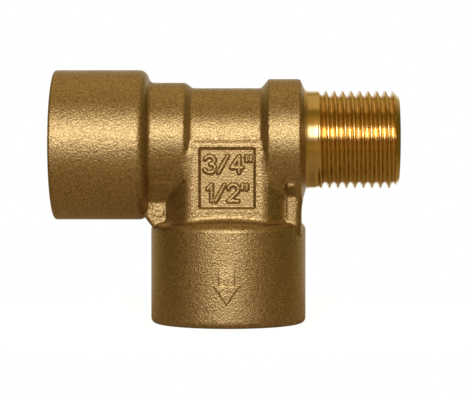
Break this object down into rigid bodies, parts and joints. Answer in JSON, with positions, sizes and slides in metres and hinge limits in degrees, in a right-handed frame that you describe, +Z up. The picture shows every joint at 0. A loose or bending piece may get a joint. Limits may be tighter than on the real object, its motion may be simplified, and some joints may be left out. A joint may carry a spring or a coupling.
{
  "type": "brass pipe tee",
  "caption": "Forged brass pipe tee with a tapped socket in line, a tapped socket on the branch, and a threaded male end.",
  "frame": {"origin": "centre of the branch socket's open end face, on the branch axis", "axes": "+Z up the branch axis from its open end, +X along the run from the tapped socket to the male end, -Y the marked side"},
  "size_m": [0.0739, 0.0332, 0.0543],
  "materials": {
    "forged_brass": "shot-blasted forging skin, turned bright at the threads"
  },
  "bodies": {
    "root": {"tee_body": "forged_brass"}
  },
  "joints": []
}
